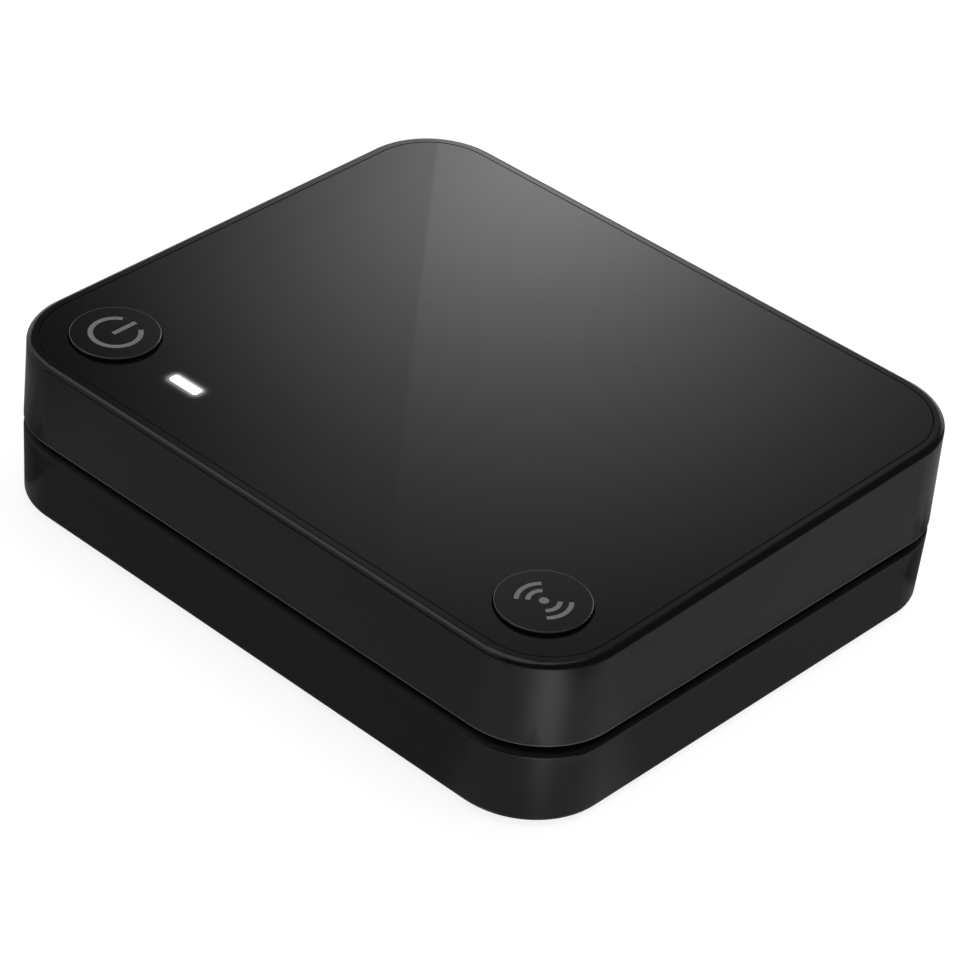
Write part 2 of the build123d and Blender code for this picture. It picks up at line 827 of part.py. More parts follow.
with BuildPart() as line_out_contacts:
    with BuildSketch(level(board_top)):
        with Locations((jack_x, depth / 2 - port_body - 2 * contact_pitch)):
            with GridLocations(jack_width + contact_reach, contact_pitch, 2, 3):
                Rectangle(contact_reach, contact_width)
    extrude(amount=contact_thickness)
line_out_contacts.part.label = "line_out_contacts"
export_step(line_out_contacts.part, "parts/line_out_contacts.step")

# --- Optical output: its housing, a sprung flap that keeps dust out, and the flap's pin ---
with BuildPart() as optical_out:
    with BuildSketch(inside_back(port_body)):
        with Locations((optical_x, optical_z)):
            Rectangle(optical_width, optical_height)
    extrude(amount=port_mouth + optical_depth - port_body)
    with BuildSketch(inside_back(port_mouth)):
        with Locations((optical_x, optical_z)):
            bevelled(optical_nose_width, optical_nose_height, optical_bevel)
    extrude(amount=port_body - port_mouth)
    with BuildSketch(inside_back(port_mouth)):
        with Locations((optical_x, optical_z)):
            bevelled(optical_room_width, optical_room_height, optical_room_bevel)
    extrude(amount=optical_depth - optical_back_wall, mode=Mode.SUBTRACT)
    with BuildSketch(inside_back(port_mouth + optical_depth - optical_back_wall)):
        with Locations((optical_x, optical_z)):
            Circle(emitter_radius)
    extrude(amount=optical_back_wall / 2, mode=Mode.SUBTRACT)
    with BuildSketch(hinge_plane):
        Circle(shutter_pin_radius + screw_clearance)
    extrude(amount=optical_nose_width / 2, both=True, mode=Mode.SUBTRACT)
optical_out.part.label = "optical_out"
export_step(optical_out.part, "parts/optical_out.step")

with BuildPart() as optical_shutter:
    with BuildSketch(hinge_plane):
        Circle(shutter_barrel_radius)
    extrude(amount=optical_room_width / 2 - shutter_clearance, both=True)
    with BuildSketch(inside_back(hinge_inset - shutter_thickness / 2)):
        with Locations((optical_x, optical_z)):
            bevelled(
                optical_room_width - 2 * shutter_clearance,
                optical_room_height - 2 * shutter_clearance,
                optical_room_bevel,
            )
        with Locations((optical_x, hinge_z + optical_room_height / 2)):
            Rectangle(optical_room_width, optical_room_height, mode=Mode.SUBTRACT)
    extrude(amount=shutter_thickness)
    with BuildSketch(hinge_plane):
        Circle(shutter_pin_radius + shutter_pin_clearance)
    extrude(amount=optical_room_width / 2, both=True, mode=Mode.SUBTRACT)
optical_shutter.part.label = "optical_shutter"
export_step(optical_shutter.part, "parts/optical_shutter.step")

with BuildPart() as shutter_pin:
    with BuildSketch(hinge_plane):
        Circle(shutter_pin_radius)
    extrude(amount=optical_nose_width / 2, both=True)
shutter_pin.part.label = "shutter_pin"
export_step(shutter_pin.part, "parts/shutter_pin.step")

# --- Power inlet, a small flat USB socket ---
with BuildPart() as usb_socket:
    with BuildSketch(inside_back(port_mouth)):
        with Locations((usb_x, usb_z)):
            bevelled(usb_width, usb_height, usb_bevel)
            bevelled(usb_width - 2 * usb_shell, usb_height - 2 * usb_shell, usb_bevel, mode=Mode.SUBTRACT)
    extrude(amount=usb_depth)
usb_socket.part.label = "usb_socket"
export_step(usb_socket.part, "parts/usb_socket.step")

with BuildPart() as usb_tongue:
    with BuildSketch(inside_back(port_mouth + usb_depth - tongue_seat)):
        with Locations((usb_x, usb_z)):
            bevelled(usb_width - 2 * usb_shell, usb_height - 2 * usb_shell, usb_bevel)
    extrude(amount=tongue_seat)
    with BuildSketch(inside_back(port_mouth + tongue_gap)):
        with Locations((usb_x, usb_z + tongue_rise)):
            Rectangle(tongue_width, tongue_thickness)
    extrude(amount=usb_depth - tongue_gap - tongue_seat)
usb_tongue.part.label = "usb_tongue"
export_step(usb_tongue.part, "parts/usb_tongue.step")


# --- Ribbon: a C-shaped loop from under the control board down to the main board ---
# Its ends lie in the two sockets, and its bends behind them.
socket_y = power_spot[1] + control_back - upper_socket_back
upper_slot = under(control_bottom + socket_height / 2)
upper_end = tuple(upper_slot.from_local_coords(Vector(0, socket_y - slot_depth, 0)))[1:]
upper_turn = tuple(upper_slot.from_local_coords(Vector(0, socket_y + ribbon_loop, 0)))[1:]
lower_end = (socket_y - slot_depth, board_top + socket_height / 2)
lower_turn = (upper_turn[0], lower_end[1])


def ribbon_strip(strip_thickness, strip_width):
    """A strip of this section along the ribbon's route."""
    with BuildPart() as strip:
        with BuildSketch(Plane.YZ.offset(control_centre[0])):
            with BuildLine():
                FilletPolyline(upper_end, upper_turn, lower_turn, lower_end, radius=ribbon_bend)
            trace(line_width=strip_thickness)
        extrude(amount=strip_width / 2, both=True)
    return strip


ribbon_cable = ribbon_strip(ribbon_thickness, ribbon_width)
ribbon_cable.part.label = "ribbon_cable"
export_step(ribbon_cable.part, "parts/ribbon_cable.step")

ribbon_way = ribbon_strip(ribbon_thickness + 2 * ribbon_clearance, ribbon_width + 2 * ribbon_clearance)

with BuildPart() as ribbon_socket_upper:
    with BuildSketch(under(control_bottom)):
        with Locations((control_centre[0], socket_y - socket_depth / 2)):
            Rectangle(socket_width, socket_depth)
    extrude(amount=-socket_height)
    add(ribbon_way.part, mode=Mode.SUBTRACT)
ribbon_socket_upper.part.label = "ribbon_socket_upper"
export_step(ribbon_socket_upper.part, "parts/ribbon_socket_upper.step")

with BuildPart() as ribbon_socket_lower:
    with BuildSketch(level(board_top)):
        with Locations((control_centre[0], socket_y - socket_depth / 2)):
            Rectangle(socket_width, socket_depth)
    extrude(amount=socket_height)
    add(ribbon_way.part, mode=Mode.SUBTRACT)
ribbon_socket_lower.part.label = "ribbon_socket_lower"
export_step(ribbon_socket_lower.part, "parts/ribbon_socket_lower.step")

# --- Radio module: a small board with castellated sides, a shield and a printed aerial ---
radio_width, radio_length, radio_thickness = radio_size
shield_width, shield_length, shield_height = shield_size
with BuildPart() as radio_module:
    with BuildSketch(level(board_top)):
        with Locations(radio_spot):
            Rectangle(radio_width, radio_length)
            with GridLocations(radio_width, castellation_pitch, 2, castellation_count):
                Circle(castellation_radius, mode=Mode.SUBTRACT)
    extrude(amount=radio_thickness)
radio_module.part.label = "radio_module"
export_step(radio_module.part, "parts/radio_module.step")

with BuildPart() as radio_shield:
    with BuildSketch(level(board_top + radio_thickness)):
        with Locations(shield_spot):
            Rectangle(shield_width, shield_length)
    extrude(amount=shield_height)
    fillet(radio_shield.edges().filter_by(Axis.Z), shield_corner)
    with BuildSketch(level(board_top + radio_thickness)):
        with Locations(shield_spot):
            Rectangle(shield_width - 2 * shield_sheet, shield_length - 2 * shield_sheet)
    extrude(amount=shield_height - shield_sheet, mode=Mode.SUBTRACT)
radio_shield.part.label = "radio_shield"
export_step(radio_shield.part, "parts/radio_shield.step")

aerial_points = []
for turn in range(2 * antenna_turns):
    stroke_x = radio_spot[0] + (turn - antenna_turns + 0.5) * antenna_pitch
    stroke_ends = (antenna_y, antenna_y - antenna_reach)
    aerial_points.append((stroke_x, stroke_ends[turn % 2]))
    aerial_points.append((stroke_x, stroke_ends[1 - turn % 2]))
with BuildPart() as antenna_trace:
    with BuildSketch(level(board_top + radio_thickness)):
        with BuildLine():
            Polyline(*aerial_points)
        trace(line_width=antenna_width)
    extrude(amount=copper_thickness)
antenna_trace.part.label = "antenna_trace"
export_step(antenna_trace.part, "parts/antenna_trace.step")


# --- Chips and passive components ---
def make_chip(size, spot, lead_pitch, leads_along):
    """A flat package on the main board, with this many leads along each long side."""
    length, breadth, height = size
    with BuildPart() as chip:
        with BuildSketch(level(board_top + lead_thickness / 2)):
            with Locations(spot):
                Rectangle(length, breadth)
        extrude(amount=height - lead_thickness / 2)
        with BuildSketch(level(board_top)):
            with Locations(spot):
                with GridLocations(lead_pitch, breadth + lead_reach, leads_along, 2):
                    Rectangle(lead_width, lead_reach + lead_thickness)
        extrude(amount=lead_thickness)
    return chip


audio_converter = make_chip(converter_size, converter_spot, converter_pitch, 8)
audio_converter.part.label = "audio_converter"
export_step(audio_converter.part, "parts/audio_converter.step")

output_amplifier = make_chip(amplifier_size, amplifier_spot, amplifier_pitch, 4)
output_amplifier.part.label = "output_amplifier"
export_step(output_amplifier.part, "parts/output_amplifier.step")

voltage_regulator = make_chip(regulator_size, regulator_spot, regulator_pitch, 3)
voltage_regulator.part.label = "voltage_regulator"
export_step(voltage_regulator.part, "parts/voltage_regulator.step")

with BuildPart() as filter_capacitors:
    with BuildSketch(level(board_top)):
        with Locations(*can_spots):
            Rectangle(can_base, can_base)
    extrude(amount=can_base_height)
    with BuildSketch(level(board_top)):
        with Locations(*can_spots):
            Circle(can_radius)
    extrude(amount=can_height)
    chamfer(filter_capacitors.edges().group_by(Axis.Z)[-1], can_chamfer)
filter_capacitors.part.label = "filter_capacitors"
export_step(filter_capacitors.part, "parts/filter_capacitors.step")

with BuildPart() as power_inductor:
    with BuildSketch(level(board_top)):
        with Locations(inductor_spot):
            Rectangle(inductor_size, inductor_size)
    extrude(amount=inductor_height)
    chamfer(power_inductor.edges().filter_by(Axis.Z), inductor_corner)
power_inductor.part.label = "power_inductor"
export_step(power_inductor.part, "parts/power_inductor.step")

with BuildPart() as crystal:
    with BuildSketch(level(board_top)):
        with Locations(crystal_spot):
            RectangleRounded(crystal_size[0], crystal_size[1], crystal_size[1] / 4)
    extrude(amount=crystal_size[2])
crystal.part.label = "crystal"
export_step(crystal.part, "parts/crystal.step")

with BuildPart() as ceramic_capacitors:
    with BuildSketch(level(board_top)):
        with Locations((converter_spot[0], converter_spot[1] - chip_capacitor_row)):
            with GridLocations(chip_capacitor_pitch, 1, chip_capacitor_count, 1):
                Rectangle(chip_capacitor_size[1], chip_capacitor_size[0])
    extrude(amount=chip_capacitor_size[2])
ceramic_capacitors.part.label = "ceramic_capacitors"
export_step(ceramic_capacitors.part, "parts/ceramic_capacitors.step")
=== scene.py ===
import json
from math import cos, radians, sin

import bmesh
import bpy
from mathutils import Matrix, Vector


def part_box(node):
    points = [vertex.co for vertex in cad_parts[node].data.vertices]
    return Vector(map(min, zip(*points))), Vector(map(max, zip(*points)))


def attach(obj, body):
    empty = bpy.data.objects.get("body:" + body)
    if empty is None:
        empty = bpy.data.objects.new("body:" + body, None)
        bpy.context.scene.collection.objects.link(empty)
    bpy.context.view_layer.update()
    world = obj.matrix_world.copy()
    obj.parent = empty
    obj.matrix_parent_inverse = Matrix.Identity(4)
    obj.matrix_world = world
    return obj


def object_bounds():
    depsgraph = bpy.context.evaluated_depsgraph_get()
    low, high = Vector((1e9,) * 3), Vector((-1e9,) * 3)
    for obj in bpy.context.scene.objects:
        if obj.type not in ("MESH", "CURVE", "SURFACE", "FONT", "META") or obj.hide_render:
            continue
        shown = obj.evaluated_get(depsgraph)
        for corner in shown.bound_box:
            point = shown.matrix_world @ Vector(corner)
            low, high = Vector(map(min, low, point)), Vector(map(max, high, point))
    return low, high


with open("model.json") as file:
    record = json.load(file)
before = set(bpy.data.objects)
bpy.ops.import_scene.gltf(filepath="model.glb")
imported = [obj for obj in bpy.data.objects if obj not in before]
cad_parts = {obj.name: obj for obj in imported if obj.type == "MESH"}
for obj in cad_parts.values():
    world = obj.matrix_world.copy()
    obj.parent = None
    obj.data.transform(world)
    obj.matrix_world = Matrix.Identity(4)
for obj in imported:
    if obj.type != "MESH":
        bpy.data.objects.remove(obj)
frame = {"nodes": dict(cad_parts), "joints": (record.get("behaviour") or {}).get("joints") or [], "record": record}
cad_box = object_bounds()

# A desktop wireless audio receiver: gloss black plate and shells, two printed buttons and a lit bar.
# Everything is in metres, in the part's own frame: +Z up, the front at -Y, the ports at +Y.
MM = 0.001
NODES = frame["nodes"]
ACROSS = Vector((1, 0, 0))

# --- Camera ---
VIEW_AZIMUTH = radians(39.95)
VIEW_ELEVATION = radians(34.54)
VIEW_ROLL = radians(5.975)
VIEW_DISTANCE = 431.8 * MM
VIEW_FOCUS = Vector((-1.87, 3.19, 5.90)) * MM
LENS = 134.27
SENSOR = 36.0
NEAREST = 10 * MM  # nothing closer to the camera than this is drawn

# --- Light ---
AMBIENT = 0.45  # what the studio's walls give to matt surfaces
FLOOR_COLOUR = 0.25
FLOOR_GLOW = 0.86  # lifts the floor to white for the camera
FLOOR_DROP = 0.02 * MM  # keeps it off the feet's faces
FLOOR_REACH = 3.0

# What glossy surfaces see round the set: a dim studio with a few soft boxes. Each glow has an azimuth, an
# elevation, the angles from its middle where it is full and where it has gone, and a strength.
STUDIO = 0.05
GLOWS = (
    (128, 2, 10, 55, 0.75),
    (-124, 14, 8, 38, 0.30),
    (200, 68, 12, 46, 0.92),
    (180, 15, 8, 32, 0.50),
    (97, 8, 4, 20, 0.35),
)

# What they see on the floor, a pattern with painted shade near the object and painted bright patches.
# A row has two distances out from a wall, in millimetres and negative on the object's side of it, and the values
# up to the first and from the second, with a smooth step between them.
# A row of two distances goes from 0 to 1.
FLOOR_FRONT = 0.25
ADDED_ON_RIGHT = (-5.0, 10.0, 0.0, 0.03)
ADDED_ON_LEFT = (0.0, 20.0, 0.0, -0.08)
SIDE_STRETCH = 1.19  # the side walls mirror the floor from closer by than the front and the back
OWN_SHADE = (9.5, 13.0, 0.60, 1.0)  # the object's own shade on the floor, as a share of its brightness
FAR_SHADE = (26.0, 42.0, 1.0, 0.25)  # it darkens farther out
STRIP_SHADE = (9.0, 21.0, 0.45, 1.0)  # a darker strip along the left wall and the back wall
STRIP_UNDER_LEFT = (-3.0, 0.0, 1.0, 0.0)  # where each strip ends under the object
STRIP_UNDER_BACK = (-4.0, 0.0, 1.0, 0.0)
STRIP_PAST_FRONT = (-6.0, 14.0)  # where the left strip ends towards the front
STRIP_PAST_RIGHT = (1.0, 6.0)  # where the back strip ends towards the right
BEHIND_RISE = (0.0, 20.0)  # behind the object the floor is lit again, except near its right end
BEHIND_GLOW = (-50.0, -10.0, 0.25, 0.0)
FAR_LEFT_GLOW = (35.0, 60.0, 0.0, 0.30)

# The bright patch that opens like a fan off the near corner, with a wide weak spill round it
PATCH_CORNER = (34.8, -27.3)
PATCH_AZIMUTH = radians(-37)
PATCH_SPREAD = 0.25  # its half width as a share of its distance
PATCH_RISE = (8.0, 34.0, 0.0, 0.75)
PATCH_KEPT = 0.85  # the share of the floor's brightness that the object's own shade leaves there
SPILL_SPREAD = 2.0
SPILL_PEAK = 0.17
FAN_RISE = (0.0, 2.0)  # keeps the spill and the share that is kept in front of the corner

# The graded card over the set, in millimetres of the top plate that mirrors it. A lobe has a centre, two
# spreads, a slant and a peak.
CARD_HEIGHT = 500 * MM
CARD_SIZE = 1.0
CARD_BASE = 0.10
CARD_FADE = (0.36, 0.50)  # shares of its size, from its middle, where it thins out to nothing
HOT_LOBE = ((-30.0, 49.0), (23.0, 33.6), -0.38, 1.89)
SIDE_LOBE = ((18.4, 12.4), (19.9, 35.8), 0.0, 0.30)
DIP_LOBE = ((-32.0, -34.0), (24.0, 12.0), 0.0, -0.09)
EDGE_ANGLE = radians(40.5)  # a straight edge crosses the hot lobe, facing this way
EDGE_OFFSET = -8.7  # how far it lies from the plate's middle
EDGE_STEP = 0.21  # the share by which the lobe is brighter beyond it

# --- Details of the finish ---
SHELL_SHADE = 0.0035
SHELL_ROUGHNESS = 0.07
PAINTED_PARTING_HIGHLIGHT = ((11.25, 11.30), (11.50, 11.56))  # heights in millimetres where the painted highlight, a pale line along the parting edge, comes and goes
# the pale colour of the painted highlight on the parting edge
PARTING_HIGHLIGHT_SHADE = 0.13
MATT_BAND = ((9.75, 10.1), (11.2, 11.3))  # heights where the base shell's shoulder and the gap turn matt
MATT_ROUGHNESS = 0.8
PLATE_SHADES = (0.0028, 0.0036)
PLATE_ROUGHNESS = 0.035
PLATE_CUT = (0.90, 0.99)  # the plate is matt where its faces look less straight up than this
CAP_SHADE = 0.004
CAP_ROUGHNESS = 0.09
CAP_HIGHLIGHT_FACING = ((0.10, 0.30), (0.93, 0.985))  # how straight up the faces of the painted highlight round the caps' rounded edges look
# the pale colour of the painted highlight on the caps' edges
CAP_HIGHLIGHT_SHADE = 0.035
BAR_FLANGE = 0.8 * MM  # the light bar's flange is this much larger than its face
BAR_TRIM = 0.10 * MM  # unlit at each end
BAR_ROUNDING = 0.50 * MM
BAR_RIM = 0.06 * MM  # the light falls off over this breadth
BAR_PEAK = 1.9
BAR_DIM = 0.15
# A painted glow given off by the plate round the lit bar: its peak and how far it reaches
PAINTED_GLOW_PEAK = 0.8
PAINTED_GLOW_REACH = 0.19 * MM

# Sizes and depths of the patterns in the materials
SHADE_DRIFT = 9 * MM
GLOSS_DRIFT = 2.5 * MM
MOULD_WAVES = 4 * MM
MOULD_SHADE = 0.12  # how far the shade of moulded plastic strays, as a share
MOULD_GLOSS = 0.04  # how far its roughness strays
HAIRLINE = 0.08 * MM
HAZE = 12 * MM
SINKS = 6 * MM
SINK_DEPTH = 0.0006 * MM
SCRATCHED = (30, 1, 1)  # hairlines run along X
POLISH_SPREAD = (0.6, 1.7)  # how far polished plastic's roughness strays, as shares
POLISHED_DRIFT = 15 * MM
POLISHED_PALE = 1.3  # its paler places, as a share of its colour
TARNISH = 1.5 * MM
TARNISH_SHADE = 0.86
ROLLED_GRAIN = 0.1 * MM
METAL_SPREAD = (0.7, 1.4)
BRUSH_DEPTH = 0.002 * MM
FINE_DEPTH = 0.004 * MM
TRACK_PITCH = 3.2 * MM
TRACK_HEIGHT = 0.02 * MM
TRACK_GAP = 0.06  # as a share of the pitch
BOARD_ROUGHNESS = 0.34
WEAVE = 0.5 * MM
BAR_PATCHES = 1.2 * MM  # the bar's light is a little uneven
BAR_SPREAD = (0.9, 1.1)
BAR_WAVES = 0.6 * MM
BAR_SHADE = 0.05
BAR_ROUGHNESS = 0.25

# --- Signs ---
INK = 0.02 * MM
SIGN_RADIUS = 2.98 * MM
SIGN_LINE = 0.62 * MM
SIGN_GAP = 32  # degrees each side of the power sign's bar
SIGN_BAR = (-0.40 * MM, 3.15 * MM)  # its ends
PAIR_DOT = 0.55 * MM
PAIR_RADII = (1.75 * MM, 3.0 * MM)
PAIR_LINE = 0.55 * MM
PAIR_SPREAD = 42  # degrees each side of the pairing sign's middle line
DOT_END = 3  # degrees left out where the two halves of a disc meet, so that no face shrinks to a line
SAME_HEIGHT = 0.001 * MM  # corners this close to the highest one lie on the same flat top


def outward(body):
    """The direction in which this button stands out of the plate."""
    return -Vector(next(joint["axis"] for joint in frame["joints"] if joint["child"] == body))


PLATE_UP = outward("power_key")


# ---------------------------------------------------------------- node arithmetic
def maths(tree, operation, *values):
    """The output of a Math node over these sockets and numbers."""
    made = tree.nodes.new("ShaderNodeMath")
    made.operation = operation
    for i, value in enumerate(values):
        if isinstance(value, bpy.types.NodeSocket):
            tree.links.new(value, made.inputs[i])
        else:
            made.inputs[i].default_value = value
    return made.outputs[0]


def chain(tree, operation, first, *others):
    """One Math node after another, each taking in the next value."""
    for value in others:
        first = maths(tree, operation, first, value)
    return first


def product(tree, *values):
    return chain(tree, "MULTIPLY", *values)


def total(tree, *values):
    return chain(tree, "ADD", *values)


def largest(tree, *values):
    return chain(tree, "MAXIMUM", *values)


def ramp(tree, value, start, end, low=0.0, high=1.0):
    """A smooth step from low at start to high at end."""
    made = tree.nodes.new("ShaderNodeMapRange")
    made.interpolation_type = "SMOOTHSTEP"
    tree.links.new(value, made.inputs["Value"])
    for socket, number in (("From Min", start), ("From Max", end), ("To Min", low), ("To Max", high)):
        made.inputs[socket].default_value = number
    return made.outputs["Result"]


def band(tree, value, rise, fall, height=1.0):
    """A smooth step up over the rise, and down again over the fall."""
    return product(tree, ramp(tree, value, *rise, 0.0, height), ramp(tree, value, *fall, 1.0, 0.0))


def along(tree, x, y, angle, start=(0.0, 0.0)):
    """How far (x, y) lies from the start along this direction."""
    dx = maths(tree, "SUBTRACT", x, start[0])
    dy = maths(tree, "SUBTRACT", y, start[1])
    return total(tree, product(tree, dx, cos(angle)), product(tree, dy, sin(angle)))


def lobe(tree, x, y, centre, spread, slant, peak):
    """A bell over (x, y), leaning by its slant."""
    dx = maths(tree, "DIVIDE", maths(tree, "SUBTRACT", x, centre[0]), spread[0])
    dy = maths(tree, "DIVIDE", maths(tree, "SUBTRACT", y, centre[1]), spread[1])
    squares = total(tree, product(tree, dx, dx), product(tree, dy, dy))
    skew = product(tree, dx, dy, 2 * slant)
    power = product(tree, maths(tree, "SUBTRACT", squares, skew), -0.5)
    return product(tree, maths(tree, "EXPONENT", power), peak)


def bell(tree, value, spread):
    """A bell of height 1 about zero."""
    share = maths(tree, "DIVIDE", value, spread)
    return maths(tree, "EXPONENT", product(tree, share, share, -0.5))


def coordinates(tree, kind="Object"):
    return tree.nodes.new("ShaderNodeTexCoord").outputs[kind]


def split_vector(tree, vector, scale=1.0):
    """The X, Y and Z of a vector, multiplied by the scale."""
    mapping = tree.nodes.new("ShaderNodeMapping")
    mapping.inputs["Scale"].default_value = [scale] * 3
    tree.links.new(vector, mapping.inputs[0])
    split = tree.nodes.new("ShaderNodeSeparateXYZ")
    tree.links.new(mapping.outputs[0], split.inputs[0])
    return split.outputs


def facing_up(tree):
    """1 where a face looks straight out of the plate, 0 on its sides."""
    facing = tree.nodes.new("ShaderNodeVectorMath")
    facing.operation = "DOT_PRODUCT"
    tree.links.new(tree.nodes.new("ShaderNodeNewGeometry").outputs["True Normal"], facing.inputs[0])
    facing.inputs[1].default_value = PLATE_UP
    return facing.outputs["Value"]


# ---------------------------------------------------------------- materials
class Finish:
    """A Principled material whose colour, roughness and relief vary over the surface in object space."""

    def __init__(self, name, **values):
        self.name = name
        self.material = bpy.data.materials.new(name)
        self.material.use_nodes = True
        self.tree = self.material.node_tree
        self.shader = self.tree.nodes["Principled BSDF"]
        self.coordinates = coordinates(self.tree)
        for socket, value in values.items():
            self.shader.inputs[socket].default_value = value

    def node(self, kind, inputs, **settings):
        made = self.tree.nodes.new(kind)
        for key, value in settings.items():
            setattr(made, key, value)
        for socket, value in inputs.items():
            if isinstance(value, bpy.types.NodeSocket):
                self.tree.links.new(value, made.inputs[socket])
            else:
                made.inputs[socket].default_value = value
        return made

    def noise(self, size, detail=2.0, stretch=(1, 1, 1)):
        """Noise from 0 to 1 with features of this size, longer along an axis whose stretch is above 1."""
        mapping = self.node(
            "ShaderNodeMapping", {"Vector": self.coordinates, "Scale": [1 / s for s in stretch]}
        )
        made = self.node(
            "ShaderNodeTexNoise", {"Vector": mapping.outputs[0], "Scale": 1 / size, "Detail": detail}
        )
        return made.outputs["Fac"]

    def grains(self, size):
        """Rounded grains of this size, as on a spark-eroded mould."""
        made = self.node("ShaderNodeTexVoronoi", {"Vector": self.coordinates, "Scale": 1 / size})
        return made.outputs["Distance"]

    def between(self, source, low, high):
        """A value from low to high as the source goes from a quarter to three quarters."""
        made = self.node(
            "ShaderNodeMapRange",
            {"Value": source, "From Min": 0.25, "From Max": 0.75, "To Min": low, "To Max": high},
        )
        return made.outputs["Result"]

    def colours(self, source, first, second):
        """A colour from the first to the second as the source goes from 0 to 1."""
        made = self.node(
            "ShaderNodeMix", {0: source, 6: (*first, 1), 7: (*second, 1)}, data_type="RGBA"
        )
        return made.outputs[2]

    def link(self, output, socket):
        self.tree.links.new(output, self.shader.inputs[socket])

    def relief(self, *layers):
        """Bumps from (height, depth in metres) pairs, the coarsest first."""
        normal = None
        for height, depth in layers:
            bump = self.node("ShaderNodeBump", {"Height": height, "Distance": depth, "Strength": 1.0})
            if normal is not None:
                self.tree.links.new(normal, bump.inputs["Normal"])
            normal = bump.outputs["Normal"]
        self.link(normal, "Normal")

    def haze(self, roughness):
        """Roughness with faint hairlines and haze about this value, over slow sinks in the surface."""
        hairs = self.noise(HAIRLINE, 1, SCRATCHED)
        marks = product(self.tree, hairs, self.noise(HAZE, 3))
        self.relief((self.noise(SINKS, 1), SINK_DEPTH))
        return self.between(marks, *times(POLISH_SPREAD, roughness))


def grey(value):
    """A neutral colour of this linear value."""
    return (value, value, value)


def times(values, share):
    """These values, each multiplied by the share."""
    return [value * share for value in values]


def moulded(name, colour, roughness, grain=0.12 * MM, depth=FINE_DEPTH):
    """Moulded plastic with a fine eroded grain: slow changes of shade, faster ones of roughness."""
    finish = Finish(name)
    darker, lighter = times(colour, 1 - MOULD_SHADE), times(colour, 1 + MOULD_SHADE)
    gloss = finish.between(finish.noise(GLOSS_DRIFT, 4), roughness - MOULD_GLOSS, roughness + MOULD_GLOSS)
    finish.link(finish.colours(finish.noise(SHADE_DRIFT), darker, lighter), "Base Color")
    finish.link(gloss, "Roughness")
    finish.relief((finish.noise(MOULD_WAVES), depth), (finish.grains(grain), depth))
    return finish


def polished(name, colour, roughness):
    """Polished plastic: nearly flat, with faint hairlines and haze in its gloss."""
    finish = Finish(name)
    finish.link(finish.haze(roughness), "Roughness")
    paler = times(colour, POLISHED_PALE)
    finish.link(finish.colours(finish.noise(POLISHED_DRIFT), colour, paler), "Base Color")
    return finish


def metal(name, colour, roughness, grain=(1, 1, 1)):
    """Bare or plated metal with a brushed or rolled grain."""
    finish = Finish(name, Metallic=1.0)
    gloss = finish.between(finish.noise(ROLLED_GRAIN, 2, grain), *times(METAL_SPREAD, roughness))
    tarnished = times(colour, TARNISH_SHADE)
    finish.link(finish.colours(finish.noise(TARNISH, 3), tarnished, colour), "Base Color")
    finish.link(gloss, "Roughness")
    finish.relief((finish.noise(HAIRLINE, 2, grain), BRUSH_DEPTH))
    return finish


def circuit_board(name, colour, bare):
    """Solder mask over woven glass and copper tracks."""
    finish = Finish(name, Roughness=BOARD_ROUGHNESS)
    tracks = finish.node(
        "ShaderNodeTexBrick",
        {"Vector": finish.coordinates, "Scale": 1 / TRACK_PITCH, "Mortar Size": TRACK_GAP},
    ).outputs["Fac"]
    finish.link(finish.colours(tracks, colour, bare), "Base Color")
    finish.relief((tracks, TRACK_HEIGHT), (finish.noise(WEAVE, 2), FINE_DEPTH))
    return finish


def from_light_bar(finish):
    """How far each place lies outside the lit bar's rounded outline, seen from above, in metres."""
    tree = finish.tree
    low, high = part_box("light_pipe")
    x, y, _ = split_vector(tree, finish.coordinates)
    out = []
    for value, start, end, trim in ((x, low.x, high.x, BAR_TRIM), (y, low.y, high.y, 0.0)):
        middle, half = (start + end) / 2, (end - start) / 2 - BAR_FLANGE - trim - BAR_ROUNDING
        far = maths(tree, "ABSOLUTE", maths(tree, "SUBTRACT", value, middle))
        out.append(largest(tree, maths(tree, "SUBTRACT", far, half), 0.0))
    corner = maths(tree, "SQRT", total(tree, *(product(tree, d, d) for d in out)))
    return maths(tree, "SUBTRACT", corner, BAR_ROUNDING)


def shell_gloss():
    """Glossy black mouldings: faint sinks and haze, a painted highlight as a pale line on the parting edge, matt
    in the gap.
    """
    finish = Finish("shell_black")
    z = split_vector(finish.tree, finish.coordinates, 1 / MM)[2]
    # a pale colour band painted on the parting edge as a highlight
    line = band(finish.tree, z, *PAINTED_PARTING_HIGHLIGHT)
    matt = band(finish.tree, z, *MATT_BAND, MATT_ROUGHNESS)
    finish.link(finish.colours(line, grey(SHELL_SHADE), grey(PARTING_HIGHLIGHT_SHADE)), "Base Color")
    finish.link(largest(finish.tree, finish.haze(SHELL_ROUGHNESS), matt), "Roughness")
    return finish


def cap_gloss():
    """The polished caps, with a painted highlight: a paler band of colour round the rounded edge."""
    finish = Finish("button_black")
    # a paler colour painted on the rounded edge as a highlight
    edge = band(finish.tree, facing_up(finish.tree), *CAP_HIGHLIGHT_FACING)
    finish.link(finish.colours(edge, grey(CAP_SHADE), grey(CAP_HIGHLIGHT_SHADE)), "Base Color")
    finish.link(finish.haze(CAP_ROUGHNESS), "Roughness")
    return finish


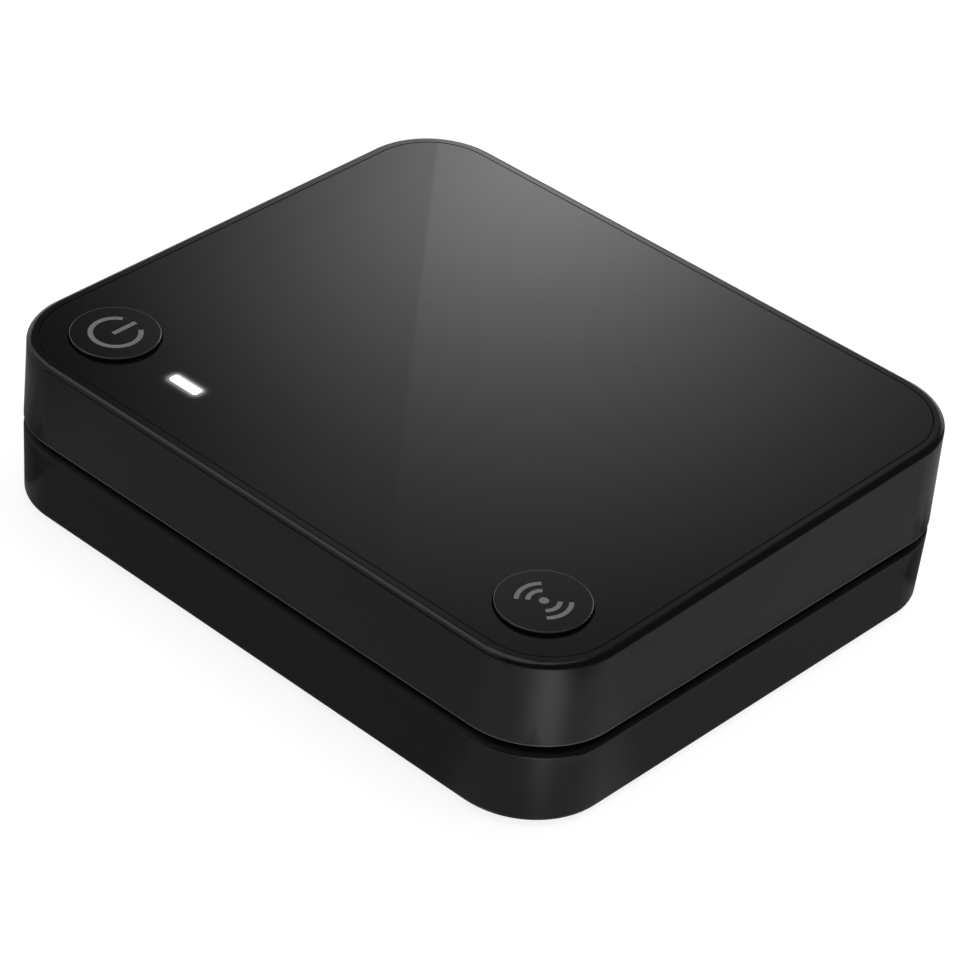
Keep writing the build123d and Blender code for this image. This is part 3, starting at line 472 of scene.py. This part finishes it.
def plate_gloss():
    """The polished plate: matt on its cut edges, with a painted glow round the lit bar, given off by the plate
    itself.
    """
    finish = Finish("plate_gloss")
    tree = finish.tree
    cut = ramp(tree, facing_up(tree), *PLATE_CUT, 1.0, 0.0)
    shades = [grey(shade) for shade in PLATE_SHADES]
    finish.link(largest(tree, finish.haze(PLATE_ROUGHNESS), cut), "Roughness")
    finish.link(finish.colours(finish.noise(POLISHED_DRIFT), *shades), "Base Color")
    # painted glow: the plate itself gives off light round the lit bar
    reach = maths(tree, "DIVIDE", from_light_bar(finish), -PAINTED_GLOW_REACH)
    painted_glow = product(tree, maths(tree, "EXPONENT", reach), PAINTED_GLOW_PEAK)
    finish.shader.inputs["Emission Color"].default_value = (1, 1, 1, 1)
    finish.link(maths(tree, "MINIMUM", painted_glow, PAINTED_GLOW_PEAK), "Emission Strength")
    return finish


def light_bar():
    """The clear bar, lit from below: bright inside its rounded outline and dim in the corners round it."""
    finish = Finish("light_clear", Roughness=BAR_ROUGHNESS)
    finish.shader.inputs["Base Color"].default_value = (*grey(BAR_SHADE), 1)
    finish.shader.inputs["Emission Color"].default_value = (1, 1, 1, 1)
    lit = ramp(finish.tree, from_light_bar(finish), -BAR_RIM, 0.0, BAR_PEAK, BAR_DIM)
    uneven = finish.between(finish.noise(BAR_PATCHES), *BAR_SPREAD)
    finish.link(product(finish.tree, uneven, lit), "Emission Strength")
    finish.relief((finish.noise(BAR_WAVES), FINE_DEPTH))
    return finish


FINISHES = (
    shell_gloss(),
    moulded("panel_black", grey(0.026), 0.45, grain=0.25 * MM, depth=0.012 * MM),
    plate_gloss(),
    cap_gloss(),
    light_bar(),
    moulded("ink", grey(0.145), 0.45),
    moulded("adhesive_film", grey(0.05), 0.6),
    moulded("foam_black", grey(0.02), 0.9, grain=0.3 * MM, depth=0.08 * MM),
    moulded("lamp_white", (0.80, 0.80, 0.74), 0.35),
    circuit_board("board_green", (0.012, 0.10, 0.045), (0.03, 0.17, 0.08)),
    circuit_board("module_blue", (0.012, 0.035, 0.15), (0.03, 0.07, 0.24)),
    metal("shield_tin", (0.62, 0.62, 0.60), 0.32, grain=(1, 12, 1)),
    metal("copper", (0.72, 0.42, 0.20), 0.30),
    moulded("switch_grey", grey(0.24), 0.45),
    moulded("switch_plunger", grey(0.04), 0.4),
    polished("ribbon_white", (0.55, 0.57, 0.62), 0.25),
    moulded("socket_ivory", (0.62, 0.57, 0.46), 0.5),
    moulded("chip_black", grey(0.025), 0.6, grain=0.06 * MM),
    metal("capacitor_can", (0.72, 0.72, 0.73), 0.28, grain=(1, 1, 10)),
    moulded("ferrite_grey", grey(0.10), 0.7, grain=0.1 * MM, depth=0.01 * MM),
    moulded("ceramic_tan", (0.42, 0.30, 0.19), 0.55),
    moulded("port_black", grey(0.012), 0.32, grain=0.08 * MM),
    metal("tinned_contact", (0.70, 0.70, 0.67), 0.22, grain=(1, 8, 1)),
    moulded("shutter_grey", grey(0.04), 0.42),
    metal("pin_steel", (0.58, 0.58, 0.58), 0.25, grain=(8, 1, 1)),
    metal("screw_black", (0.05, 0.05, 0.052), 0.45),
    metal("screw_zinc", (0.66, 0.66, 0.63), 0.30),
    moulded("foot_rubber", grey(0.02), 0.75, grain=0.2 * MM, depth=0.02 * MM),
)
MATERIALS = {finish.name: finish.material for finish in FINISHES}

# ---------------------------------------------------------------- the CAD nodes' finish
for part in frame["record"]["subparts"]:
    for place in NODES[part["node"]].material_slots:
        place.material = MATERIALS[part["material_slot"]]


# ---------------------------------------------------------------- placing
def basis(right, up, back, origin):
    """A placement whose axes are these three directions."""
    place = Matrix((right, up, back)).transposed().to_4x4()
    place.translation = origin
    return place


def put(name, data, place):
    """An object with this mesh, lamp or camera, at this placement."""
    made = bpy.data.objects.new(name, data)
    made.matrix_world = place
    bpy.context.scene.collection.objects.link(made)
    return made


def flat_top(node, up):
    """The middle of a node's highest flat face along this direction."""
    corners = [v.co for v in NODES[node].data.vertices]
    height = max(c @ up for c in corners)
    top = [c for c in corners if c @ up > height - SAME_HEIGHT]
    return sum(top, Vector()) / len(top)


# ---------------------------------------------------------------- printed signs on the caps
def arc(radius, start, end, steps):
    """Points on an arc about the origin, its angles in degrees."""
    turns = [radians(start + (end - start) * i / steps) for i in range(steps + 1)]
    return [Vector((radius * cos(a), radius * sin(a))) for a in turns]


def stroke(radius, breadth, start, end, steps=48):
    """A stretch of ring, as pairs of points on its two edges."""
    outer, inner = (arc(radius + off, start, end, steps) for off in (breadth / 2, -breadth / 2))
    return list(zip(outer, inner))


def upright(width, low, high):
    """An upright bar, as pairs of points on its two edges."""
    return [(Vector((-width / 2, y)), Vector((width / 2, y))) for y in (low, high)]


def dot(radius, steps=24):
    """A disc, as pairs of points on its upper and lower halves."""
    upper, lower = (arc(radius, side * DOT_END, side * (180 - DOT_END), steps) for side in (1, -1))
    return list(zip(upper, lower))


def printed_sign(name, body, node, strokes):
    """Ink strokes standing a hair proud of a cap."""
    up = outward(body)
    shapes = bmesh.new()
    for pairs in strokes:
        rows = [[shapes.verts.new((*p, z)) for p in pair for z in (INK, -INK / 4)] for pair in pairs]
        shapes.faces.new((rows[0][0], rows[0][1], rows[0][3], rows[0][2]))
        shapes.faces.new((rows[-1][0], rows[-1][2], rows[-1][3], rows[-1][1]))
        for a, b in zip(rows, rows[1:]):
            for i, j in ((0, 2), (2, 3), (3, 1), (1, 0)):
                shapes.faces.new((a[i], a[j], b[j], b[i]))
    bmesh.ops.recalc_face_normals(shapes, faces=shapes.faces)
    mesh = bpy.data.meshes.new(name)
    shapes.to_mesh(mesh)
    shapes.free()
    mesh.materials.append(MATERIALS["ink"])
    piece = put(name, mesh, basis(ACROSS, up.cross(ACROSS), up, flat_top(node, up)))
    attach(piece, body)


power_sign = [
    stroke(SIGN_RADIUS, SIGN_LINE, 90 + SIGN_GAP, 450 - SIGN_GAP),
    upright(SIGN_LINE, *SIGN_BAR),
]
printed_sign("power_sign", "power_key", "power_button", power_sign)

pair_sign = [dot(PAIR_DOT)]
for radius in PAIR_RADII:
    for side in (0, 180):
        pair_sign.append(stroke(radius, PAIR_LINE, side - PAIR_SPREAD, side + PAIR_SPREAD, 20))
printed_sign("pair_sign", "pair_key", "pair_button", pair_sign)


# ---------------------------------------------------------------- studio
def bare_material(name):
    """A node material with nothing in it yet."""
    material = bpy.data.materials.new(name)
    material.use_nodes = True
    material.node_tree.nodes.clear()
    return material, material.node_tree


def shine(tree, strength):
    """Plain white light of this strength."""
    made = tree.nodes.new("ShaderNodeEmission")
    tree.links.new(strength, made.inputs["Strength"])
    return made.outputs[0]


def mixed(tree, share, first, second):
    """The first shader where the share is 0, the second where it is 1."""
    made = tree.nodes.new("ShaderNodeMixShader")
    for place, socket in zip(made.inputs, (share, first, second)):
        tree.links.new(socket, place)
    return made.outputs[0]


def show(tree, shader, opening):
    """Makes this shader the surface, which lets rays through where the opening is above 0."""
    clear = tree.nodes.new("ShaderNodeBsdfTransparent").outputs[0]
    out = tree.nodes.new("ShaderNodeOutputMaterial").inputs["Surface"]
    tree.links.new(mixed(tree, opening, shader, clear), out)


def sheet(name, half, material, place):
    """A square stage piece, facing up in its placement."""
    mesh = bpy.data.meshes.new(name)
    corners = [(x * half, y * half, 0) for x, y in ((-1, -1), (1, -1), (1, 1), (-1, 1))]
    mesh.from_pydata(corners, [], [(0, 1, 2, 3)])
    mesh.materials.append(material)
    piece = put(name, mesh, place)
    return piece


def camera():
    """The photograph's view, turned a little about its own axis."""
    level_right = Vector((cos(VIEW_AZIMUTH), sin(VIEW_AZIMUTH), 0))
    back = Vector((
        sin(VIEW_AZIMUTH) * cos(VIEW_ELEVATION),
        -cos(VIEW_AZIMUTH) * cos(VIEW_ELEVATION),
        sin(VIEW_ELEVATION),
    ))
    level_up = back.cross(level_right)
    right = level_right * cos(VIEW_ROLL) + level_up * sin(VIEW_ROLL)
    data = bpy.data.cameras.new("portrait")
    data.lens = LENS
    data.sensor_width = SENSOR
    data.clip_start = NEAREST
    made = put("portrait", data, basis(right, back.cross(right), back, VIEW_FOCUS + back * VIEW_DISTANCE))
    bpy.context.scene.camera = made
    return made


def plate_middle():
    """The place on the top plate's plane over the middle of its box."""
    low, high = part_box("top_plate")
    middle = Vector(((low.x + high.x) / 2, (low.y + high.y) / 2, 0))
    rise = (flat_top("top_plate", PLATE_UP) - middle) @ PLATE_UP
    return middle + Vector((0, 0, rise / PLATE_UP.z))


def graded_ceiling(eye):
    """A soft box over the back of the set, brightest at one spot, seen only in glossy surfaces.

    It lies parallel to the plate, so the plate shows it as the same picture scaled down. Its shades are
    given where the plate shows them from the camera's place."""
    origin = plate_middle()
    offset = eye - origin
    eye_height = offset @ PLATE_UP
    scale = (eye_height + CARD_HEIGHT) / eye_height
    foot = offset - PLATE_UP * eye_height
    middle = origin + foot * (1 - scale) + PLATE_UP * CARD_HEIGHT
    material, tree = bare_material("graded_card")
    on_card = coordinates(tree)
    x, y, _ = split_vector(tree, on_card, 1 / (scale * MM))
    beyond = maths(tree, "GREATER_THAN", along(tree, x, y, EDGE_ANGLE), EDGE_OFFSET)
    step = total(tree, product(tree, beyond, EDGE_STEP), 1.0)
    hot = product(tree, lobe(tree, x, y, *HOT_LOBE), step)
    side, dip = lobe(tree, x, y, *SIDE_LOBE), lobe(tree, x, y, *DIP_LOBE)
    bright = largest(tree, total(tree, hot, side, dip, CARD_BASE), 0.0)
    x, y, _ = split_vector(tree, on_card, 1 / CARD_SIZE)
    ends = [ramp(tree, maths(tree, "ABSOLUTE", value), *CARD_FADE) for value in (x, y)]
    show(tree, shine(tree, bright), largest(tree, *ends))
    place = basis(ACROSS, PLATE_UP.cross(ACROSS), PLATE_UP, middle)
    card = sheet("graded_card", CARD_SIZE / 2, material, place)
    card.visible_camera = False
    card.visible_diffuse = False
    card.visible_transmission = False
    card.visible_shadow = False


def floor_as_mirrored(tree):
    """How bright glossy surfaces see each place of the floor: painted shade near the object and painted bright
    patches.
    """
    x, y, _ = split_vector(tree, coordinates(tree), 1 / MM)
    low, high = (corner / MM for corner in cad_box)
    to_left, to_front = maths(tree, "SUBTRACT", low.x, x), maths(tree, "SUBTRACT", low.y, y)
    to_right, to_back = maths(tree, "SUBTRACT", x, high.x), maths(tree, "SUBTRACT", y, high.y)
    aside = product(tree, largest(tree, to_left, to_right), SIDE_STRETCH)
    past = largest(tree, aside, to_front, to_back)

    ahead = along(tree, x, y, PATCH_AZIMUTH, PATCH_CORNER)
    across = along(tree, x, y, PATCH_AZIMUTH + radians(90), PATCH_CORNER)
    turn = maths(tree, "DIVIDE", across, largest(tree, ahead, 1.0))
    fan = bell(tree, turn, PATCH_SPREAD)
    patch = product(tree, fan, ramp(tree, ahead, *PATCH_RISE))
    kept = product(tree, fan, ramp(tree, ahead, *FAN_RISE, 0.0, PATCH_KEPT))
    spill = product(tree, bell(tree, turn, SPILL_SPREAD), SPILL_PEAK, ramp(tree, ahead, *FAN_RISE))

    grey_floor = total(
        tree, patch, ramp(tree, to_right, *ADDED_ON_RIGHT), ramp(tree, to_left, *ADDED_ON_LEFT), FLOOR_FRONT
    )
    left_strip = largest(
        tree, ramp(tree, to_left, *STRIP_SHADE), ramp(tree, to_left, *STRIP_UNDER_LEFT),
        ramp(tree, to_front, *STRIP_PAST_FRONT),
    )
    back_strip = largest(
        tree, ramp(tree, to_back, *STRIP_SHADE), ramp(tree, to_back, *STRIP_UNDER_BACK),
        ramp(tree, to_right, *STRIP_PAST_RIGHT),
    )
    # painted shade of the object on the floor, as glossy surfaces see it
    own_shade = largest(tree, ramp(tree, past, *OWN_SHADE), kept)
    shaded = product(tree, grey_floor, own_shade, left_strip, back_strip)
    near = product(tree, total(tree, shaded, spill), ramp(tree, past, *FAR_SHADE))
    behind = product(tree, ramp(tree, to_back, *BEHIND_RISE), ramp(tree, to_right, *BEHIND_GLOW))
    return total(tree, near, largest(tree, behind, ramp(tree, to_left, *FAR_LEFT_GLOW)))


def floor():
    """A pale floor that reads white, keeping a soft shadow of the object, and open to a look from below."""
    material, tree = bare_material("floor")
    rays = tree.nodes.new("ShaderNodeLightPath").outputs
    matt = tree.nodes.new("ShaderNodeBsdfDiffuse")
    matt.inputs["Color"].default_value = (*grey(FLOOR_COLOUR), 1)
    seen = largest(tree, rays["Is Camera Ray"], rays["Is Transmission Ray"])
    plain = tree.nodes.new("ShaderNodeAddShader")
    tree.links.new(matt.outputs[0], plain.inputs[0])
    tree.links.new(shine(tree, product(tree, seen, FLOOR_GLOW)), plain.inputs[1])
    mirrored = shine(tree, floor_as_mirrored(tree))
    either = mixed(tree, rays["Is Glossy Ray"], plain.outputs[0], mirrored)
    show(tree, either, tree.nodes.new("ShaderNodeNewGeometry").outputs["Backfacing"])
    sheet("floor", FLOOR_REACH, material, Matrix.Translation((0, 0, -FLOOR_DROP)))


def direction(azimuth, elevation):
    """A unit vector, from angles in degrees."""
    a, e = radians(azimuth), radians(elevation)
    return Vector((cos(a) * cos(e), sin(a) * cos(e), sin(e)))


def surroundings():
    """White to the camera; to glossy surfaces a dim studio with soft glows; even light to the rest."""
    world = bpy.data.worlds.new("studio")
    world.use_nodes = True
    bpy.context.scene.world = world
    tree = world.node_tree
    back = tree.nodes["Background"]
    back.inputs["Color"].default_value = (1, 1, 1, 1)
    rays = tree.nodes.new("ShaderNodeLightPath").outputs
    looking = coordinates(tree, "Generated")
    studio = STUDIO
    for azimuth, elevation, full, gone, strength in GLOWS:
        towards = tree.nodes.new("ShaderNodeVectorMath")
        towards.operation = "DOT_PRODUCT"
        tree.links.new(looking, towards.inputs[0])
        towards.inputs[1].default_value = direction(azimuth, elevation)
        glow = ramp(tree, towards.outputs["Value"], cos(radians(gone)), cos(radians(full)), 0.0, strength)
        studio = total(tree, glow, studio)
    glossy = product(tree, rays["Is Glossy Ray"], studio)
    white = largest(tree, rays["Is Camera Ray"], rays["Is Transmission Ray"])
    matt = product(tree, rays["Is Diffuse Ray"], AMBIENT)
    tree.links.new(total(tree, white, glossy, matt), back.inputs["Strength"])


def soft_lamp(name, azimuth, elevation, distance, size, power):
    """A square area lamp aimed at the object's middle."""
    towards = direction(azimuth, elevation)
    data = bpy.data.lights.new(name, "AREA")
    data.size = size
    data.energy = power
    place = towards.to_track_quat("Z", "Y").to_matrix().to_4x4()
    place.translation = (cad_box[0] + cad_box[1]) / 2 + towards * distance
    lamp = put(name, data, place)
    lamp.visible_glossy = False


scene = bpy.context.scene
scene.view_settings.view_transform = "Standard"
graded_ceiling(camera().matrix_world.translation)
floor()
surroundings()
soft_lamp("overhead", azimuth=60, elevation=75, distance=0.8, size=0.7, power=3.5)
